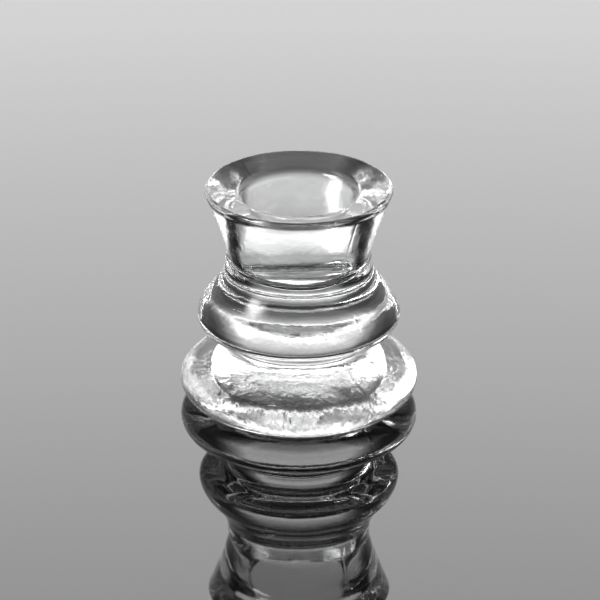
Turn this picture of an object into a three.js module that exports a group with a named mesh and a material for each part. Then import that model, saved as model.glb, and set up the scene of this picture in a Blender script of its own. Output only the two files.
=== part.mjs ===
// A small candle holder pressed from clear glass in one piece, for a 22 mm dinner candle.
// From the ground up it has a disc foot, a narrow waist, a bulging ring, a hollow neck and a flared rim.
// The solid is one outline turned about the Z axis, which starts and ends on that axis.
// Lengths are in millimetres and +Z is up. The origin is the centre of the foot, at ground level.

import * as THREE from 'three';

// ---- driving dimensions ----

// Foot
const foot_radius = 25.0;
const foot_edge_height = 4.4;
const foot_edge_reach = 4.7;
const foot_ring_width = 4.2;
const foot_shoulder_radius = 3.6;
const foot_slope_degrees = 23.8;

// Shallow dish pressed into the underside, so that only the ring touches the ground
const dish_height = 2.6;
const dish_edge_degrees = 36;

// Waist between the foot and the bulging ring, with the share of the room beside it that its curves take
const waist_radius = 14.5;
const waist_height = 13.5;
const waist_low_share = 0.6225;
const waist_top_share = 0.658;

// Bulging ring
const bulge_radius = 21.3;
const bulge_height = 18.9;
const bulge_underside_height = 16.4;
const bulge_edge_reach = 3.0;
const shoulder_inset = 2.3;
const shoulder_height = 23.8;
const shoulder_degrees = 135;

// Neck, whose foot is a crease where it meets the shoulder of the bulging ring, and which bends into the flare
// at a share of the way up to the lip
const neck_wall = 3.35;
const crease_reach = 0.25;
const crease_height = 30.5;
const neck_height = 33.2;
const flare_share = 0.3882;

// Rim
const rim_reach = 4.45;
const rim_height = 47.6;
const lip_thickness = 1.45;

// Socket for the candle
const candle_radius = 11.0;
const candle_clearance = 0.65;
const socket_depth = 18.8;
const socket_draft = 0.15;
const socket_corner_radius = 3.0;
const mouth_drop = 1.35;
const mouth_rounding = 1.5;

// Fineness of the faceted solid
const turns = 48;
const arc_steps = 6;
const curve_steps = 7;

// ---- sizes that follow from the driving ones ----

const UP = 90;
const OUTWARD = 0;
const INWARD = 180;

const slope_degrees = INWARD - foot_slope_degrees;
const foot_ring_radius = foot_radius - foot_edge_reach;
const shoulder_radius = bulge_radius - shoulder_inset;
const socket_floor_height = rim_height - socket_depth;
const socket_floor_radius = candle_radius + candle_clearance;
const mouth_radius = socket_floor_radius + socket_draft;
const mouth_height = rim_height - mouth_drop;
const neck_radius = mouth_radius + neck_wall;
const crease_radius = neck_radius + crease_reach;
const rim_radius = neck_radius + rim_reach;
const lip_radius = lip_thickness / 2;

// ---- outline ----

const ELLIPSE = 0.5523;

/** The unit vector that points at an angle in degrees, measured from outward towards up. */
function heading(degrees) {
  const angle = THREE.MathUtils.degToRad(degrees);
  return new THREE.Vector2(Math.cos(angle), Math.sin(angle));
}

/** The point where the line from start along one heading meets the line into end along another. */
function corner(start, start_heading, end, end_heading) {
  const gap = end.clone().sub(start);
  const spread = start_heading.cross(end_heading);
  return start.clone().addScaledVector(start_heading, gap.cross(end_heading) / spread);
}

/** A round stretch from start to end that leaves and arrives along the given angles. */
function round(start, start_degrees, end, end_degrees, fullness = ELLIPSE) {
  const tip = corner(start, heading(start_degrees), end, heading(end_degrees));
  return new THREE.CubicBezierCurve(start, start.clone().lerp(tip, fullness), end.clone().lerp(tip, fullness), end);
}

/** A point of the outline, given its distance from the axis and its height. */
function at(radius, height) {
  return new THREE.Vector2(radius, height);
}

/** The outline of the glass, from the axis under the foot round to the axis on the socket's floor. */
function outline() {
  const dish_top = at(0, dish_height);
  const ring_inside = at(foot_ring_radius - foot_ring_width, 0);
  const ring_outside = at(foot_ring_radius, 0);
  const foot_edge = at(foot_radius, foot_edge_height);
  const slope_low = foot_edge.clone().add(at(-foot_shoulder_radius, 0));
  slope_low.addScaledVector(heading(slope_degrees - UP), foot_shoulder_radius);
  const waist = at(waist_radius, waist_height);
  const waist_reach = (slope_low.x - waist_radius) * waist_low_share;
  const slope_high = corner(slope_low, heading(slope_degrees), at(waist_radius + waist_reach, 0), heading(UP));
  const underside = at(bulge_radius - bulge_edge_reach, bulge_underside_height);
  const waist_top = waist.clone().lerp(underside, waist_top_share).setY(bulge_underside_height);
  const bulge = at(bulge_radius, bulge_height);
  const shoulder = at(shoulder_radius, shoulder_height);
  const crease = at(crease_radius, crease_height);
  const neck = at(neck_radius, neck_height);
  const lip_center = at(rim_radius - lip_radius, rim_height - lip_radius);
  const flare_start = neck.clone().lerp(lip_center, flare_share).setX(neck_radius);
  const flare_degrees = THREE.MathUtils.radToDeg(lip_center.clone().sub(flare_start).angle());
  const lip_under = lip_center.clone().addScaledVector(heading(flare_degrees - UP), lip_radius);
  const funnel_degrees = THREE.MathUtils.radToDeg(Math.atan2(-mouth_drop, mouth_radius - lip_center.x));
  const lip_over = lip_center.clone().addScaledVector(heading(funnel_degrees - UP), lip_radius);
  const mouth = at(mouth_radius, mouth_height);
  const mouth_top = mouth.clone().lerp(lip_over, mouth_rounding / mouth.distanceTo(lip_over));
  const mouth_low = at(mouth_radius, mouth_height - mouth_rounding);
  const wall_low = at(socket_floor_radius, socket_floor_height + socket_corner_radius);
  const floor_edge = at(socket_floor_radius - socket_corner_radius, socket_floor_height);
  const floor_center = at(0, socket_floor_height);
  const wall_degrees = THREE.MathUtils.radToDeg(Math.atan2(wall_low.y - mouth_low.y, wall_low.x - mouth_low.x));
  const lip_start = THREE.MathUtils.degToRad(flare_degrees - UP);
  const lip_end = THREE.MathUtils.degToRad(funnel_degrees - UP) + 2 * Math.PI;

  return [
    [round(dish_top, OUTWARD, ring_inside, -dish_edge_degrees), arc_steps],
    [new THREE.LineCurve(ring_inside, ring_outside), 1],
    [round(ring_outside, OUTWARD, foot_edge, UP), arc_steps],
    [round(foot_edge, UP, slope_low, slope_degrees), arc_steps],
    [new THREE.LineCurve(slope_low, slope_high), 1],
    [round(slope_high, slope_degrees, waist, UP), arc_steps],
    [round(waist, UP, waist_top, OUTWARD), arc_steps],
    [new THREE.LineCurve(waist_top, underside), 1],
    [round(underside, OUTWARD, bulge, UP), arc_steps],
    [round(bulge, UP, shoulder, shoulder_degrees), arc_steps],
    [round(shoulder, shoulder_degrees, crease, UP), curve_steps],
    [new THREE.LineCurve(crease, neck), 1],
    [round(neck, UP, lip_under, flare_degrees), curve_steps],
    [new THREE.EllipseCurve(lip_center.x, lip_center.y, lip_radius, lip_radius, lip_start, lip_end), arc_steps],
    [new THREE.LineCurve(lip_over, mouth_top), 1],
    [round(mouth_top, funnel_degrees, mouth_low, wall_degrees), arc_steps / 2],
    [new THREE.LineCurve(mouth_low, wall_low), 1],
    [round(wall_low, wall_degrees, floor_edge, INWARD), arc_steps],
    [new THREE.LineCurve(floor_edge, floor_center), 1],
  ];
}

/** The outline as points, with each stretch cut into its own number of steps. */
function outline_points() {
  const points = [];
  for (const [stretch, steps] of outline()) {
    points.push(...stretch.getPoints(steps).slice(points.length ? 1 : 0));
  }
  return points;
}

// ---- the glass ----

function glass_body() {
  const geometry = new THREE.LatheGeometry(outline_points(), turns);
  geometry.rotateX(Math.PI / 2);
  const glass = new THREE.MeshStandardMaterial({
    color: 0xeef1f0,
    roughness: 0.05,
    metalness: 0,
    transparent: true,
    opacity: 0.35,
  });
  const mesh = new THREE.Mesh(geometry, glass);
  mesh.name = 'glass_body';
  return mesh;
}

const candle_holder = new THREE.Group();
candle_holder.name = 'candle_holder';
candle_holder.add(glass_body());

export default candle_holder;
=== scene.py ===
"""A small candle holder pressed from clear glass, standing on a polished studio floor.

The holder is one piece of glass: a disc foot, a narrow waist, a bulging ring, a hollow neck and a flared rim
round a smooth socket for a candle. One outline is turned about the upright axis, and the marks that a press
mould leaves are raised on it: two upright seams, a slow swirl in the surface, and a pebbled foot.
"""

import logging
import math
from dataclasses import dataclass, field
from enum import Enum, IntEnum

import bmesh
import bpy
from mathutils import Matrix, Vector, noise


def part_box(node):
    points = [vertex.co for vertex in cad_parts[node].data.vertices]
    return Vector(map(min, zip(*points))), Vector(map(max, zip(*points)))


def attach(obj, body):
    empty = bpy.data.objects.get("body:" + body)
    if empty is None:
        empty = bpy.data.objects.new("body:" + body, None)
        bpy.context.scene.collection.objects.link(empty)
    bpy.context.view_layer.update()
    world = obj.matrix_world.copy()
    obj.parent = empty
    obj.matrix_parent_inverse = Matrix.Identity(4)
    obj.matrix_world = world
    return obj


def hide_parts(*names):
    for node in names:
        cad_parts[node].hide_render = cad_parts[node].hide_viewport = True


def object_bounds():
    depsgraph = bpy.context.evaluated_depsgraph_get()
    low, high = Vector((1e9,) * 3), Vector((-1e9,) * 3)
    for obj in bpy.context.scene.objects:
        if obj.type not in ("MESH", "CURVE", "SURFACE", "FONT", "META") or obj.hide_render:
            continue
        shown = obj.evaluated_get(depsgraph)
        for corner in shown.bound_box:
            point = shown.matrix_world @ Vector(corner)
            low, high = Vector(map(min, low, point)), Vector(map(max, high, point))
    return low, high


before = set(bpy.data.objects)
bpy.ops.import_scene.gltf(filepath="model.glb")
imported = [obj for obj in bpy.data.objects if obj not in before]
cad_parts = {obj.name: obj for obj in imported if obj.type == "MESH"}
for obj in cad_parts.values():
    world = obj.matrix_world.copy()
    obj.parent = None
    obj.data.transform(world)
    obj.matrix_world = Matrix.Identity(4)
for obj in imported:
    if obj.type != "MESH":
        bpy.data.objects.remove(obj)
cad_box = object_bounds()

BODY = "root"
GLASS_NODE = "glass_body"
MM = 0.001

log = logging.getLogger("candle_holder")


# ---- outline of the glass ----

ELLIPSE = 0.5523
CURVE_TO_CHORD = 1.1
UP = 90.0
OUTWARD = 0.0
INWARD = 180.0


class Zone(Enum):
    """The parts of the glass that the mould finishes differently."""

    UNDERSIDE = "underside"
    CONTACT = "contact"
    FOOT = "foot"
    RING = "ring"
    NECK = "neck"
    LIP = "lip"
    SOCKET = "socket"


@dataclass(frozen=True)
class OutlinePoint:
    """One point of the outline, with the zone of the stretch that ends there."""

    radius: float
    height: float
    zone: Zone


def heading(degrees: float) -> Vector:
    """Returns the unit vector at an angle measured from outward towards up."""
    angle = math.radians(degrees)
    return Vector((math.cos(angle), math.sin(angle)))


def cross(a: Vector, b: Vector) -> float:
    """Returns the signed area between two flat vectors."""
    return a.x * b.y - a.y * b.x


def meeting_point(start: Vector, start_heading: Vector, end: Vector, end_heading: Vector) -> Vector:
    """Finds where two lines of the outline meet.

    Args:
        start: a point on the first line.
        start_heading: the direction of the first line.
        end: a point on the second line.
        end_heading: the direction of the second line.

    Returns:
        The point that both lines pass through.
    """
    reach = cross(end - start, end_heading) / cross(start_heading, end_heading)
    return start + start_heading * reach


class Pen:
    """Draws the outline stretch by stretch, in metres, with points close enough for smooth glass."""

    def __init__(self, start: Vector, zone: Zone, spacing: float, fewest_steps: int) -> None:
        """Puts the pen down.

        Args:
            start: the first point, as radius and height.
            zone: the zone of that point.
            spacing: the widest gap between two points.
            fewest_steps: the fewest steps in a round stretch.
        """
        self.spacing = spacing
        self.fewest_steps = fewest_steps
        self.place = start
        self.points: list[OutlinePoint] = [OutlinePoint(start.x, start.y, zone)]

    def put(self, place: Vector, zone: Zone) -> None:
        """Adds one point."""
        self.place = place
        self.points.append(OutlinePoint(place.x, place.y, zone))

    def straight(self, end: Vector, zone: Zone) -> None:
        """Draws a straight stretch.

        Args:
            end: its last point.
            zone: the zone that it belongs to.
        """
        start = self.place
        steps = max(1, math.ceil((end - start).length / self.spacing))
        for step in range(1, steps + 1):
            self.put(start.lerp(end, step / steps), zone)

    def rounded(self, start_degrees: float, end: Vector, end_degrees: float, zone: Zone) -> None:
        """Draws a round stretch that leaves along one angle and arrives along another.

        Args:
            start_degrees: the angle that the stretch leaves along.
            end: its last point.
            end_degrees: the angle that it arrives along.
            zone: the zone that it belongs to.
        """
        start = self.place
        tip = meeting_point(start, heading(start_degrees), end, heading(end_degrees))
        near = start.lerp(tip, ELLIPSE)
        far = end.lerp(tip, ELLIPSE)
        steps = max(self.fewest_steps, math.ceil((end - start).length * CURVE_TO_CHORD / self.spacing))
        for step in range(1, steps + 1):
            t = step / steps
            u = 1.0 - t
            self.put(start * u**3 + near * 3 * u * u * t + far * 3 * u * t * t + end * t**3, zone)

    def arc(self, center: Vector, start_degrees: float, end_degrees: float, zone: Zone) -> None:
        """Draws part of a circle.

        Args:
            center: the middle of the circle.
            start_degrees: the angle from the middle to the arc's first point.
            end_degrees: the angle from the middle to its last point.
            zone: the zone that it belongs to.
        """
        radius = (self.place - center).length
        steps = 2 * self.fewest_steps
        for step in range(1, steps + 1):
            angle = start_degrees + (end_degrees - start_degrees) * step / steps
            self.put(center + heading(angle) * radius, zone)


@dataclass(frozen=True)
class Outline:
    """The sizes of the turned outline, in millimetres, from the ground up and down into the socket."""

    foot_radius: float
    rim_height: float
    foot_edge_height: float = 4.4
    foot_ring_radius: float = 20.3
    foot_ring_width: float = 4.2
    foot_shoulder_radius: float = 3.6
    foot_slope_degrees: float = 23.8
    dish_height: float = 2.6
    dish_edge_degrees: float = 36.0
    waist_radius: float = 14.5
    waist_height: float = 13.5
    waist_reach: float = 5.2
    waist_top_reach: float = 2.5
    bulge_radius: float = 21.3
    bulge_height: float = 18.9
    bulge_underside_height: float = 16.4
    bulge_edge_reach: float = 3.0
    shoulder_radius: float = 19.0
    shoulder_height: float = 23.8
    shoulder_degrees: float = 135.0
    neck_radius: float = 15.15
    crease_radius: float = 15.4
    crease_height: float = 30.5
    neck_height: float = 33.2
    flare_degrees: float = 66.0
    rim_radius: float = 19.6
    lip_thickness: float = 1.45
    socket_floor_radius: float = 11.65
    socket_draft: float = 0.15
    socket_depth: float = 18.8
    socket_corner_radius: float = 3.0
    mouth_drop: float = 1.35
    mouth_rounding: float = 1.5
    spacing: float = 0.4
    fewest_steps: int = 9

    @classmethod
    def from_frame(cls) -> "Outline":
        """Takes the foot's radius and the rim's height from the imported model."""
        low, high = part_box(GLASS_NODE)
        return cls(foot_radius=(high.x - low.x) / 2 / MM, rim_height=high.z / MM)

    @staticmethod
    def at(radius: float, height: float) -> Vector:
        """Returns a point of the outline in metres, from millimetres."""
        return Vector((radius * MM, height * MM))

    def points(self) -> list[OutlinePoint]:
        """Draws the whole outline.

        Returns:
            The points from the axis under the foot round to the axis on the socket's floor.
        """
        pen = Pen(self.at(0, self.dish_height), Zone.UNDERSIDE, self.spacing * MM, self.fewest_steps)
        self.draw_foot(pen)
        self.draw_ring(pen)
        lip_radius = self.lip_thickness / 2
        lip_center = self.at(self.rim_radius - lip_radius, self.rim_height - lip_radius)
        self.draw_neck(pen, lip_center)
        self.draw_socket(pen, lip_center)
        return pen.points

    def draw_foot(self, pen: Pen) -> None:
        """Draws the dished underside, the ring that it stands on, and the foot up to the waist.

        Args:
            pen: the pen, on the axis under the foot.
        """
        slope = INWARD - self.foot_slope_degrees
        edge = self.at(self.foot_radius, self.foot_edge_height)
        slope_low = edge - self.at(self.foot_shoulder_radius, 0)
        slope_low += heading(slope - UP) * self.foot_shoulder_radius * MM
        slope_top = self.at(self.waist_radius + self.waist_reach, 0)
        slope_high = meeting_point(slope_low, heading(slope), slope_top, heading(UP))
        ring_inside = self.at(self.foot_ring_radius - self.foot_ring_width, 0)
        pen.rounded(OUTWARD, ring_inside, -self.dish_edge_degrees, Zone.UNDERSIDE)
        pen.straight(self.at(self.foot_ring_radius, 0), Zone.CONTACT)
        pen.rounded(OUTWARD, edge, UP, Zone.FOOT)
        pen.rounded(UP, slope_low, slope, Zone.FOOT)
        pen.straight(slope_high, Zone.FOOT)
        pen.rounded(slope, self.at(self.waist_radius, self.waist_height), UP, Zone.FOOT)

    def draw_ring(self, pen: Pen) -> None:
        """Draws the bulging ring, from the waist up to the crease at the foot of the neck.

        Args:
            pen: the pen, at the waist.
        """
        underside = self.bulge_underside_height
        shoulder = self.shoulder_degrees
        pen.rounded(UP, self.at(self.waist_radius + self.waist_top_reach, underside), OUTWARD, Zone.RING)
        pen.straight(self.at(self.bulge_radius - self.bulge_edge_reach, underside), Zone.RING)
        pen.rounded(OUTWARD, self.at(self.bulge_radius, self.bulge_height), UP, Zone.RING)
        pen.rounded(UP, self.at(self.shoulder_radius, self.shoulder_height), shoulder, Zone.RING)
        pen.rounded(shoulder, self.at(self.crease_radius, self.crease_height), UP, Zone.RING)

    def draw_neck(self, pen: Pen, lip_center: Vector) -> None:
        """Draws the hollow neck, the flare and the round lip.

        Args:
            pen: the pen, at the crease.
            lip_center: the middle of the lip's section.
        """
        lip_radius = self.lip_thickness / 2 * MM
        pen.straight(self.at(self.neck_radius, self.neck_height), Zone.NECK)
        under_lip = lip_center + heading(self.flare_degrees - UP) * lip_radius
        pen.rounded(UP, under_lip, self.flare_degrees, Zone.NECK)
        pen.arc(lip_center, self.flare_degrees - UP, self.funnel_degrees(lip_center) - UP, Zone.LIP)

    def mouth(self) -> Vector:
        """Returns the corner where the funnel would meet the socket's wall."""
        return self.at(self.socket_floor_radius + self.socket_draft, self.rim_height - self.mouth_drop)

    def funnel_degrees(self, lip_center: Vector) -> float:
        """Returns the angle of the funnel as it runs inwards from the lip, past a half turn."""
        gap = self.mouth() - lip_center
        return math.degrees(math.atan2(gap.y - self.lip_thickness / 2 * MM, gap.x)) + 2 * INWARD

    def draw_socket(self, pen: Pen, lip_center: Vector) -> None:
        """Draws the funnel inside the lip, the rounded mouth, the wall and the floor of the socket.

        Args:
            pen: the pen, on the inside of the lip.
            lip_center: the middle of the lip's section.
        """
        mouth = self.mouth()
        floor_height = self.rim_height - self.socket_depth
        mouth_top = mouth + (pen.place - mouth).normalized() * self.mouth_rounding * MM
        mouth_low = mouth - self.at(0, self.mouth_rounding)
        wall_low = self.at(self.socket_floor_radius, floor_height + self.socket_corner_radius)
        wall = wall_low - mouth_low
        wall_degrees = math.degrees(math.atan2(wall.y, wall.x))
        pen.straight(mouth_top, Zone.LIP)
        pen.rounded(self.funnel_degrees(lip_center), mouth_low, wall_degrees, Zone.LIP)
        pen.straight(wall_low, Zone.SOCKET)
        floor_edge = self.at(self.socket_floor_radius - self.socket_corner_radius, floor_height)
        pen.rounded(wall_degrees, floor_edge, INWARD, Zone.SOCKET)
        pen.straight(self.at(0, floor_height), Zone.SOCKET)


# ---- marks that the mould leaves ----


@dataclass(frozen=True)
class MouldRelief:
    """How far the surface of the pressed glass stands proud of its outline, in metres."""

    seam_degrees: tuple[float, ...] = (-52.0, 128.0)
    seam_half_width: float = 0.28 * MM
    seam_wander: float = 0.35 * MM
    seam_wander_length: float = 4.0 * MM
    seam: dict[Zone, float] = field(
        default_factory=lambda: {Zone.FOOT: 0.045 * MM, Zone.RING: 0.012 * MM, Zone.NECK: 0.03 * MM}
    )
    swirl_size: float = 7.0 * MM
    swirl_fade_radius: float = 5.0 * MM
    swirl: dict[Zone, float] = field(
        default_factory=lambda: {
            Zone.UNDERSIDE: 0.24 * MM,
            Zone.CONTACT: 0.0,
            Zone.FOOT: 0.06 * MM,
            Zone.RING: 0.06 * MM,
            Zone.NECK: 0.04 * MM,
            Zone.LIP: 0.09 * MM,
            Zone.SOCKET: 0.22 * MM,
        }
    )

    def seam_gap(self, place: Vector) -> float:
        """Measures how far a point is from the nearest seam.

        Args:
            place: the point on the plain turned surface.

        Returns:
            The distance along the surface.
        """
        angle = math.atan2(place.y, place.x)
        radius = math.hypot(place.x, place.y)
        turns = (math.remainder(angle - math.radians(seam), 2 * math.pi) for seam in self.seam_degrees)
        wander = self.seam_wander * noise.noise(Vector((0.0, 0.0, place.z / self.seam_wander_length)))
        return min(abs(turn * radius + wander) for turn in turns)

    def height(self, place: Vector, zone: Zone) -> float:
        """Measures the relief at one point.

        Args:
            place: the point on the plain turned surface.
            zone: the zone that it belongs to.

        Returns:
            The distance to move the point outwards, along the surface's normal.
        """
        fade = min(1.0, math.hypot(place.x, place.y) / self.swirl_fade_radius)
        raised = self.swirl[zone] * fade * noise.noise(place / self.swirl_size)
        if zone in self.seam:
            raised += self.seam[zone] * math.exp(-((self.seam_gap(place) / self.seam_half_width) ** 2))
        return raised


# ---- shader groups shared by the finishes ----

FINE_RIPPLES_TO_A_SLOW_ONE = 4.3
HAZE_SHARPNESS = 2.0
PEBBLE_SMOOTHNESS = 0.6


class Group(Enum):
    """The shader groups that more than one finish uses."""

    WAVINESS = "pressed_waviness"
    HANDLING = "handling_haze"
    PEBBLES = "mould_pebbles"


class ShaderMaker:
    """Adds nodes to one shader."""

    def __init__(self, tree: bpy.types.NodeTree) -> None:
        """Takes the shader that the nodes go in."""
        self.tree = tree

    def math(self, operation: str, *values: "bpy.types.NodeSocket | float") -> bpy.types.NodeSocket:
        """Adds a Math node.

        Args:
            operation: the node's operation.
            values: its inputs in order, each a socket or a number.

        Returns:
            The node's output.
        """
        node = self.tree.nodes.new("ShaderNodeMath")
        node.operation = operation
        for socket, value in zip(node.inputs, values):
            if isinstance(value, float):
                socket.default_value = value
            else:
                self.tree.links.new(value, socket)
        return node.outputs[0]


class GroupMaker(ShaderMaker):
    """Builds one of the shared shader groups."""

    def __init__(self, group: Group) -> None:
        """Starts an empty group, which takes a place on the surface and gives one value back.

        Args:
            group: which group to build.
        """
        super().__init__(bpy.data.node_groups.new(group.value, "ShaderNodeTree"))
        self.tree.interface.new_socket("Place", in_out="INPUT", socket_type="NodeSocketVector")
        self.entry = self.tree.nodes.new("NodeGroupInput")
        self.exit = self.tree.nodes.new("NodeGroupOutput")

    def number(self, name: str, default: float) -> bpy.types.NodeSocket:
        """Adds a number input to the group.

        Args:
            name: the input's name.
            default: its value where a material sets none.

        Returns:
            The socket that carries the number inside the group.
        """
        made = self.tree.interface.new_socket(name, in_out="INPUT", socket_type="NodeSocketFloat")
        made.default_value = default
        return self.entry.outputs[name]

    def result(self, name: str, source: bpy.types.NodeSocket) -> None:
        """Adds an output to the group, fed by source."""
        self.tree.interface.new_socket(name, in_out="OUTPUT", socket_type="NodeSocketFloat")
        self.tree.links.new(source, self.exit.inputs[name])

    def noise(self, scale: bpy.types.NodeSocket, detail: float, twist: float = 0.0) -> bpy.types.NodeSocket:
        """Adds a noise over the group's place.

        Args:
            scale: how many features there are to a metre.
            detail: how many finer layers there are.
            twist: how far the noise is distorted.

        Returns:
            The noise, from 0 to 1.
        """
        node = self.tree.nodes.new("ShaderNodeTexNoise")
        node.inputs["Detail"].default_value = detail
        node.inputs["Distortion"].default_value = twist
        self.tree.links.new(self.entry.outputs["Place"], node.inputs["Vector"])
        self.tree.links.new(scale, node.inputs["Scale"])
        return node.outputs["Fac"]

    def cells(self, scale: bpy.types.NodeSocket, smoothness: float) -> bpy.types.NodeSocket:
        """Adds rounded cells over the group's place.

        Args:
            scale: how many cells there are to a metre.
            smoothness: how far the cells melt into each other.

        Returns:
            The distance from the middle of the nearest cell.
        """
        node = self.tree.nodes.new("ShaderNodeTexVoronoi")
        node.feature = "SMOOTH_F1"
        node.inputs["Smoothness"].default_value = smoothness
        self.tree.links.new(self.entry.outputs["Place"], node.inputs["Vector"])
        self.tree.links.new(scale, node.inputs["Scale"])
        return node.outputs["Distance"]


def build_waviness() -> None:
    """Builds the slow ripple that glass keeps from the mould and from being polished by flame."""
    maker = GroupMaker(Group.WAVINESS)
    scale = maker.number("Ripples", 220.0)
    fine = maker.number("Fine share", 0.2)
    slow = maker.noise(scale, detail=1.0, twist=0.4)
    quick = maker.noise(maker.math("MULTIPLY", scale, FINE_RIPPLES_TO_A_SLOW_ONE), detail=2.0)
    maker.result("Height", maker.math("MULTIPLY_ADD", quick, fine, slow))


def build_handling() -> None:
    """Builds the faint haze that wiping and handling leave on polished glass."""
    maker = GroupMaker(Group.HANDLING)
    clean = maker.number("Clean", 0.0)
    worn = maker.number("Worn", 0.05)
    patches = maker.noise(maker.number("Patches", 120.0), detail=4.0, twist=0.8)
    sharper = maker.math("POWER", patches, HAZE_SHARPNESS)
    spread = maker.math("SUBTRACT", worn, clean)
    maker.result("Roughness", maker.math("MULTIPLY_ADD", sharper, spread, clean))


def build_pebbles() -> None:
    """Builds the fine pebbles that a rough mould presses into glass."""
    maker = GroupMaker(Group.PEBBLES)
    maker.result("Height", maker.cells(maker.number("Pebbles", 1100.0), PEBBLE_SMOOTHNESS))


# ---- finishes ----


@dataclass(frozen=True)
class GlassFinish:
    """Clear pressed glass, with a ripple, a haze and, where the mould was rough, pebbles."""

    name: str
    tint: tuple[float, float, float] = (0.995, 0.998, 1.0)
    refraction: float = 1.5
    ripples: float = 220.0
    fine_share: float = 0.2
    ripple_depth: float = 0.08 * MM
    clean: float = 0.0
    worn: float = 0.05
    pebbles: float = 0.0
    pebble_depth: float = 0.0

    def material(self) -> bpy.types.Material:
        """Builds the material.

        Returns:
            A new glass material.
        """
        made = bpy.data.materials.new(self.name)
        made.use_nodes = True
        tree = made.node_tree
        glass = tree.nodes["Principled BSDF"]
        glass.inputs["Base Color"].default_value = (*self.tint, 1.0)
        glass.inputs["Metallic"].default_value = 0.0
        glass.inputs["Transmission Weight"].default_value = 1.0
        glass.inputs["IOR"].default_value = self.refraction
        place = tree.nodes.new("ShaderNodeTexCoord").outputs["Object"]
        waves = {"Ripples": self.ripples, "Fine share": self.fine_share}
        wear = {"Clean": self.clean, "Worn": self.worn}
        ripple = self.shared(tree, Group.WAVINESS, place, waves)
        haze = self.shared(tree, Group.HANDLING, place, wear)
        tree.links.new(haze.outputs["Roughness"], glass.inputs["Roughness"])
        bump = self.bump(tree, ripple.outputs["Height"], self.ripple_depth)
        if self.pebbles:
            pebbles = self.shared(tree, Group.PEBBLES, place, {"Pebbles": self.pebbles})
            pebble_bump = self.bump(tree, pebbles.outputs["Height"], self.pebble_depth)
            tree.links.new(bump.outputs["Normal"], pebble_bump.inputs["Normal"])
            bump = pebble_bump
        tree.links.new(bump.outputs["Normal"], glass.inputs["Normal"])
        return made

    @staticmethod
    def shared(
        tree: bpy.types.NodeTree, group: Group, place: bpy.types.NodeSocket, values: dict[str, float]
    ) -> bpy.types.Node:
        """Places one of the shared groups in a material.

        Args:
            tree: the material's nodes.
            group: which group to place.
            place: the place on the surface.
            values: the group's numbers in this material, by name.

        Returns:
            The group's node.
        """
        node = tree.nodes.new("ShaderNodeGroup")
        node.node_tree = bpy.data.node_groups[group.value]
        tree.links.new(place, node.inputs["Place"])
        for name, value in values.items():
            node.inputs[name].default_value = value
        return node

    @staticmethod
    def bump(tree: bpy.types.NodeTree, height: bpy.types.NodeSocket, depth: float) -> bpy.types.Node:
        """Places a bump in a material.

        Args:
            tree: the material's nodes.
            height: the height that it follows.
            depth: its depth in metres.

        Returns:
            The bump's node.
        """
        node = tree.nodes.new("ShaderNodeBump")
        node.inputs["Strength"].default_value = 1.0
        node.inputs["Distance"].default_value = depth
        tree.links.new(height, node.inputs["Height"])
        return node


@dataclass(frozen=True)
class FloorFinish:
    """A polished floor that mirrors the pale surround."""

    name: str = "polished_floor"
    mirror: float = 0.20
    roughness: float = 0.02

    def material(self) -> bpy.types.Material:
        """Builds the material.

        Returns:
            A new floor material.
        """
        made = bpy.data.materials.new(self.name)
        made.use_nodes = True
        sheen = made.node_tree.nodes["Principled BSDF"]
        sheen.inputs["Base Color"].default_value = (self.mirror, self.mirror, self.mirror, 1.0)
        sheen.inputs["Metallic"].default_value = 1.0
        sheen.inputs["Roughness"].default_value = self.roughness
        return made


# ---- the glass ----

ON_AXIS = 1e-7
GROUND = 0.0


class Finish(IntEnum):
    """The finishes of the glass, in the order of the piece's material slots."""

    POLISHED = 0
    FOOT = 1
    UNDERSIDE = 2


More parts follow.
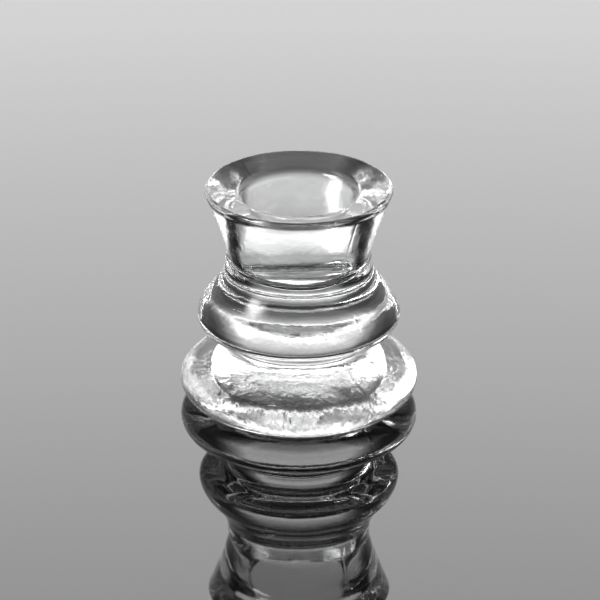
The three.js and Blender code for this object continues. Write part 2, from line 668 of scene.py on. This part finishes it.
@dataclass
class CandleHolder:
    """The one piece of glass, turned from its outline and given the relief of the mould."""

    outline: Outline
    relief: MouldRelief = field(default_factory=MouldRelief)
    name: str = "pressed_glass_holder"
    columns: int = 216
    seam_columns_degrees: tuple[float, ...] = (0.45, 0.9, 1.4, 2.0)
    closest_columns_degrees: float = 0.1
    polished: GlassFinish = GlassFinish("fire_polished_glass")
    foot: GlassFinish = GlassFinish(
        "pebbled_foot_glass",
        fine_share=0.45,
        ripple_depth=0.09 * MM,
        worn=0.08,
        pebbles=1100.0,
        pebble_depth=0.014 * MM,
    )
    underside: GlassFinish = GlassFinish(
        "frosted_underside_glass",
        fine_share=0.5,
        ripple_depth=0.16 * MM,
        clean=0.04,
        worn=0.45,
        pebbles=800.0,
        pebble_depth=0.03 * MM,
    )

    def angles(self) -> list[float]:
        """Spaces out the upright rows of points, which crowd together at the seams.

        Returns:
            The rows' angles in order, in radians.
        """
        turned = {round(360.0 * step / self.columns, 4) for step in range(self.columns)}
        for seam in self.relief.seam_degrees:
            for offset in self.seam_columns_degrees:
                turned.add(round((seam + offset) % 360.0, 4))
                turned.add(round((seam - offset) % 360.0, 4))
            turned.add(round(seam % 360.0, 4))
        ordered = sorted(turned)
        kept = [ordered[0]]
        for angle in ordered[1:]:
            if angle - kept[-1] > self.closest_columns_degrees:
                kept.append(angle)
        return [math.radians(angle) for angle in kept]

    @staticmethod
    def normals(points: list[OutlinePoint]) -> list[Vector]:
        """Finds the outward direction at each point of the outline.

        Args:
            points: the outline's points in order.

        Returns:
            One unit vector a point, as radius and height.
        """
        found = []
        for index in range(len(points)):
            before = points[max(index - 1, 0)]
            after = points[min(index + 1, len(points) - 1)]
            along = Vector((after.radius - before.radius, after.height - before.height)).normalized()
            found.append(Vector((along.y, -along.x)))
        return found

    def ring(
        self, mesh: bmesh.types.BMesh, point: OutlinePoint, normal: Vector, angles: list[float]
    ) -> list[bmesh.types.BMVert]:
        """Makes the points of the glass at one point of the outline.

        Args:
            mesh: the mesh being built.
            point: the outline's point.
            normal: the outward direction there, as radius and height.
            angles: the angles of the upright rows.

        Returns:
            One vertex for each angle, or a single one on the axis.
        """
        if point.radius < ON_AXIS:
            return [mesh.verts.new((0.0, 0.0, point.height))]
        made = []
        for angle in angles:
            spoke = Vector((math.cos(angle), math.sin(angle), 0.0))
            place = spoke * point.radius + Vector((0.0, 0.0, point.height))
            raised = self.relief.height(place, point.zone)
            place += (spoke * normal.x + Vector((0.0, 0.0, normal.y))) * raised
            place.z = max(place.z, GROUND)
            made.append(mesh.verts.new(place))
        return made

    def build(self) -> bpy.types.Object:
        """Turns the outline into the glass, dresses it and hands it to the frame.

        Returns:
            The finished piece.
        """
        mesh = bmesh.new()
        angles = self.angles()
        points = self.outline.points()
        normals = self.normals(points)
        before = self.ring(mesh, points[0], normals[0], angles)
        for point, normal in zip(points[1:], normals[1:]):
            after = self.ring(mesh, point, normal, angles)
            self.join(mesh, before, after, point.zone)
            before = after
        data = bpy.data.meshes.new(self.name)
        mesh.to_mesh(data)
        mesh.free()
        piece = bpy.data.objects.new(self.name, data)
        bpy.context.scene.collection.objects.link(piece)
        self.dress(piece)
        return piece

    def join(
        self,
        mesh: bmesh.types.BMesh,
        before: list[bmesh.types.BMVert],
        after: list[bmesh.types.BMVert],
        zone: Zone,
    ) -> None:
        """Closes the band of faces between two rings.

        Args:
            mesh: the mesh being built.
            before: the ring nearer the outline's start, or its one point on the axis.
            after: the next ring.
            zone: the zone of the band.
        """
        count = max(len(before), len(after))
        for index in range(count):
            following = (index + 1) % count
            if len(before) == 1:
                corners = (before[0], after[following], after[index])
            elif len(after) == 1:
                corners = (before[index], before[following], after[0])
            else:
                corners = (before[index], before[following], after[following], after[index])
            face = mesh.faces.new(corners)
            face.smooth = True
            face.material_index = self.finish_of(zone)

    @staticmethod
    def finish_of(zone: Zone) -> Finish:
        """Picks the finish of a zone.

        Args:
            zone: a stretch of the outline.

        Returns:
            The finish of its faces.
        """
        if zone in (Zone.UNDERSIDE, Zone.CONTACT):
            return Finish.UNDERSIDE
        if zone is Zone.FOOT:
            return Finish.FOOT
        return Finish.POLISHED

    def dress(self, piece: bpy.types.Object) -> None:
        """Gives the piece its finishes and its place in the frame.

        Args:
            piece: the glass.
        """
        finishes = {Finish.POLISHED: self.polished, Finish.FOOT: self.foot, Finish.UNDERSIDE: self.underside}
        for slot in Finish:
            piece.data.materials.append(finishes[slot].material())
        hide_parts(GLASS_NODE)
        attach(piece, BODY)


# ---- the studio ----

WHITE = (1.0, 1.0, 1.0, 1.0)
FIRST_CROSSING = 0.5


@dataclass(frozen=True)
class Ramp:
    """A smooth curve through a few stops, for brightness against an angle."""

    stops: tuple[tuple[float, float], ...]

    def place(self, tree: bpy.types.NodeTree, source: bpy.types.NodeSocket) -> bpy.types.NodeSocket:
        """Adds the curve to a shader.

        Args:
            tree: the shader.
            source: the cosine or the sine of the angle, from -1 to 1.

        Returns:
            The brightness, from 0 to 1.
        """
        spread = tree.nodes.new("ShaderNodeMapRange")
        spread.inputs["From Min"].default_value = -1.0
        spread.inputs["From Max"].default_value = 1.0
        tree.links.new(source, spread.inputs["Value"])
        node = tree.nodes.new("ShaderNodeValToRGB")
        elements = node.color_ramp.elements
        elements.remove(elements[1])
        (lowest, level), *others = sorted(self.stops)
        elements[0].position = (lowest + 1.0) / 2.0
        elements[0].color = (level, level, level, 1.0)
        for value, level in others:
            elements.new((value + 1.0) / 2.0).color = (level, level, level, 1.0)
        tree.links.new(spread.outputs["Result"], node.inputs["Fac"])
        return node.outputs["Color"]


def by_elevation(*stops: tuple[float, float]) -> Ramp:
    """Returns a curve over degrees above the horizon."""
    return Ramp(tuple((math.sin(math.radians(angle)), level) for angle, level in stops))


def by_azimuth(*stops: tuple[float, float]) -> Ramp:
    """Returns a curve over degrees to either side of straight behind the holder."""
    return Ramp(tuple((math.cos(math.radians(angle)), level) for angle, level in stops))


class WorldMaker(ShaderMaker):
    """Builds the shader of the surround from soft lights."""

    def __init__(self, name: str) -> None:
        """Starts a dark world.

        Args:
            name: the world's name.
        """
        world = bpy.data.worlds.new(name)
        world.use_nodes = True
        bpy.context.scene.world = world
        super().__init__(world.node_tree)
        self.direction = self.tree.nodes.new("ShaderNodeTexCoord").outputs["Generated"]
        self.total: bpy.types.NodeSocket | None = None

    def height_and_depth(self) -> tuple[bpy.types.NodeSocket, bpy.types.NodeSocket]:
        """Splits the direction of the light into how high and how far behind it is.

        Returns:
            The sine of the elevation, and the cosine of the azimuth from straight behind.
        """
        parts = self.tree.nodes.new("ShaderNodeSeparateXYZ")
        self.tree.links.new(self.direction, parts.inputs["Vector"])
        level = self.tree.nodes.new("ShaderNodeCombineXYZ")
        self.tree.links.new(parts.outputs["X"], level.inputs["X"])
        self.tree.links.new(parts.outputs["Y"], level.inputs["Y"])
        flat = self.tree.nodes.new("ShaderNodeVectorMath")
        flat.operation = "NORMALIZE"
        self.tree.links.new(level.outputs["Vector"], flat.inputs[0])
        turned = self.tree.nodes.new("ShaderNodeSeparateXYZ")
        self.tree.links.new(flat.outputs["Vector"], turned.inputs["Vector"])
        return parts.outputs["Z"], turned.outputs["Y"]

    def add(self, share: bpy.types.NodeSocket, strength: float) -> None:
        """Adds a light to the total.

        Args:
            share: the light's shape.
            strength: its brightness where the shape is 1.
        """
        if self.total is None:
            self.total = self.math("MULTIPLY", share, strength)
        else:
            self.total = self.math("MULTIPLY_ADD", share, strength, self.total)

    def outside_glass(self) -> bpy.types.NodeSocket:
        """Returns 1 for light that comes by the floor or the air alone, and 0 where it crosses the glass."""
        path = self.tree.nodes.new("ShaderNodeLightPath")
        return self.math("LESS_THAN", path.outputs["Transmission Depth"], FIRST_CROSSING)

    def finish(self, backdrop: bpy.types.NodeSocket) -> None:
        """Gives the light to the background.

        Args:
            backdrop: the light that the floor mirrors, which is pale all round.
        """
        mix = self.tree.nodes.new("ShaderNodeMix")
        self.tree.links.new(self.outside_glass(), mix.inputs["Factor"])
        self.tree.links.new(self.total, mix.inputs["A"])
        self.tree.links.new(backdrop, mix.inputs["B"])
        background = self.tree.nodes["Background"]
        background.inputs["Color"].default_value = WHITE
        self.tree.links.new(mix.outputs["Result"], background.inputs["Strength"])


@dataclass(frozen=True)
class Lobe:
    """Soft light that varies with elevation and with azimuth."""

    strength: float
    elevation: Ramp
    azimuth: Ramp

    def share(self, maker: WorldMaker) -> bpy.types.NodeSocket:
        """Shapes the light.

        Args:
            maker: the surround being built.

        Returns:
            The lobe's shape.
        """
        height, depth = maker.height_and_depth()
        up = self.elevation.place(maker.tree, height)
        round_about = self.azimuth.place(maker.tree, depth)
        return maker.math("MULTIPLY", up, round_about)


@dataclass(frozen=True)
class Glow:
    """A soft round light in one direction."""

    strength: float
    direction: tuple[float, float, float]
    falloff: Ramp

    def light(self, maker: WorldMaker) -> bpy.types.NodeSocket:
        """Shapes the light and gives it its strength.

        Args:
            maker: the surround being built.

        Returns:
            The glow's brightness.
        """
        toward = maker.tree.nodes.new("ShaderNodeVectorMath")
        toward.operation = "DOT_PRODUCT"
        toward.inputs[1].default_value = Vector(self.direction).normalized()
        maker.tree.links.new(maker.direction, toward.inputs[0])
        return maker.math("MULTIPLY", self.falloff.place(maker.tree, toward.outputs["Value"]), self.strength)


PANEL_HEIGHTS = by_elevation(
    (0, 0.58),
    (8, 0.74),
    (16, 0.92),
    (21, 0.99),
    (26, 0.87),
    (31, 0.70),
    (37, 0.60),
    (46, 0.55),
    (58, 0.40),
    (90, 0.1),
)
BACKDROP = Lobe(
    strength=2.08,
    elevation=PANEL_HEIGHTS,
    azimuth=by_azimuth((0, 1.0), (40, 1.0), (70, 0.8), (110, 0.62), (180, 0.55)),
)
PANEL = Lobe(
    strength=1.57,
    elevation=PANEL_HEIGHTS,
    azimuth=by_azimuth(
        (0, 1.0),
        (19, 1.0),
        (24, 0.6),
        (30, 0.25),
        (37, 0.07),
        (50, 0.04),
        (70, 0.0),
        (180, 0.0),
    ),
)
ROOM = Lobe(
    strength=0.56,
    elevation=by_elevation((0, 0.6), (12, 0.9), (24, 1.4), (42, 1.5), (60, 1.5), (90, 1.2)),
    azimuth=by_azimuth((0, 0.0), (54, 0.0), (66, 0.2), (90, 1.15), (135, 0.8), (180, 0.75)),
)
SIDE_GLOW = Glow(
    strength=15.0,
    direction=(-0.80, -0.35, 0.49),
    falloff=Ramp(((-1.0, 0.0), (0.94, 0.0), (0.965, 0.12), (0.985, 0.5), (1.0, 1.0))),
)


@dataclass(frozen=True)
class Surround:
    """The soft light all round: a glowing panel behind, dark flags beside it, and the pale room in front."""

    backdrop: Lobe = BACKDROP
    lobes: tuple[Lobe, ...] = (PANEL, ROOM)
    side_glow: Glow = SIDE_GLOW

    def build(self) -> None:
        """Builds the world."""
        maker = WorldMaker("studio_surround")
        for lobe in self.lobes:
            maker.add(lobe.share(maker), lobe.strength)
        glow = self.side_glow.light(maker)
        maker.add(glow, 1.0)
        pale = maker.math("MULTIPLY", self.backdrop.share(maker), self.backdrop.strength)
        maker.finish(maker.math("ADD", pale, glow))


@dataclass(frozen=True)
class Viewpoint:
    """The camera, which looks down at the holder through a long lens."""

    elevation_degrees: float = 25.0
    distance: float = 0.84
    focal_length: float = 240.0
    aim_height: float = 0.454
    aim_side: float = 0.25 * MM
    far_limit: float = 20.0

    def build(self, height: float) -> None:
        """Sets up the camera.

        Args:
            height: the height of the object that it looks at.
        """
        target = Vector((self.aim_side, 0.0, height * self.aim_height))
        tilt = math.radians(self.elevation_degrees)
        back = Vector((0.0, -math.cos(tilt), math.sin(tilt)))
        data = bpy.data.cameras.new("viewpoint")
        data.lens = self.focal_length
        data.clip_end = self.far_limit
        camera = bpy.data.objects.new("viewpoint", data)
        camera.location = target + back * self.distance
        camera.rotation_euler = back.to_track_quat("Z", "Y").to_euler()
        bpy.context.scene.collection.objects.link(camera)
        bpy.context.scene.camera = camera


@dataclass(frozen=True)
class Studio:
    """The floor, the light and the camera."""

    floor_reach: float = 6.0
    floor_gap: float = 0.02 * MM
    floor_finish: FloorFinish = FloorFinish()
    surround: Surround = Surround()
    contrast: float = 1.6
    brightness: float = 0.375
    glass_bounces: int = 24
    mirror_bounces: int = 16
    viewpoint: Viewpoint = Viewpoint()

    def build(self, height: float) -> None:
        """Builds the studio round an object.

        Args:
            height: the object's height.
        """
        self.lay_floor()
        self.surround.build()
        self.viewpoint.build(height)
        self.set_look()

    def lay_floor(self) -> None:
        """Lays the floor just under the foot."""
        mesh = bmesh.new()
        reach = self.floor_reach
        corners = ((-reach, -reach), (reach, -reach), (reach, reach), (-reach, reach))
        mesh.faces.new([mesh.verts.new((x, y, -self.floor_gap)) for x, y in corners])
        data = bpy.data.meshes.new("studio_floor")
        mesh.to_mesh(data)
        mesh.free()
        floor = bpy.data.objects.new("studio_floor", data)
        data.materials.append(self.floor_finish.material())
        bpy.context.scene.collection.objects.link(floor)

    def set_look(self) -> None:
        """Lets light pass through all the walls of the glass, and gives the tones their contrast."""
        scene = bpy.context.scene
        scene.view_settings.exposure = self.brightness
        scene.view_settings.gamma = 1.0 / self.contrast
        scene.view_settings.view_transform = "Standard"
        scene.view_settings.look = "None"
        scene.cycles.max_bounces = self.glass_bounces
        scene.cycles.transmission_bounces = self.glass_bounces
        scene.cycles.glossy_bounces = self.mirror_bounces


def main() -> None:
    """Builds the glass and the studio, and reports each piece."""
    logging.basicConfig(level=logging.INFO, format="%(name)s: %(message)s")
    build_waviness()
    build_handling()
    build_pebbles()
    piece = CandleHolder(Outline.from_frame()).build()
    log.info("%s: %d faces", piece.name, len(piece.data.polygons))
    low, high = cad_box
    Studio().build(high.z - low.z)
    log.info("studio: floor, surround and viewpoint")


if __name__ == "__main__":
    main()
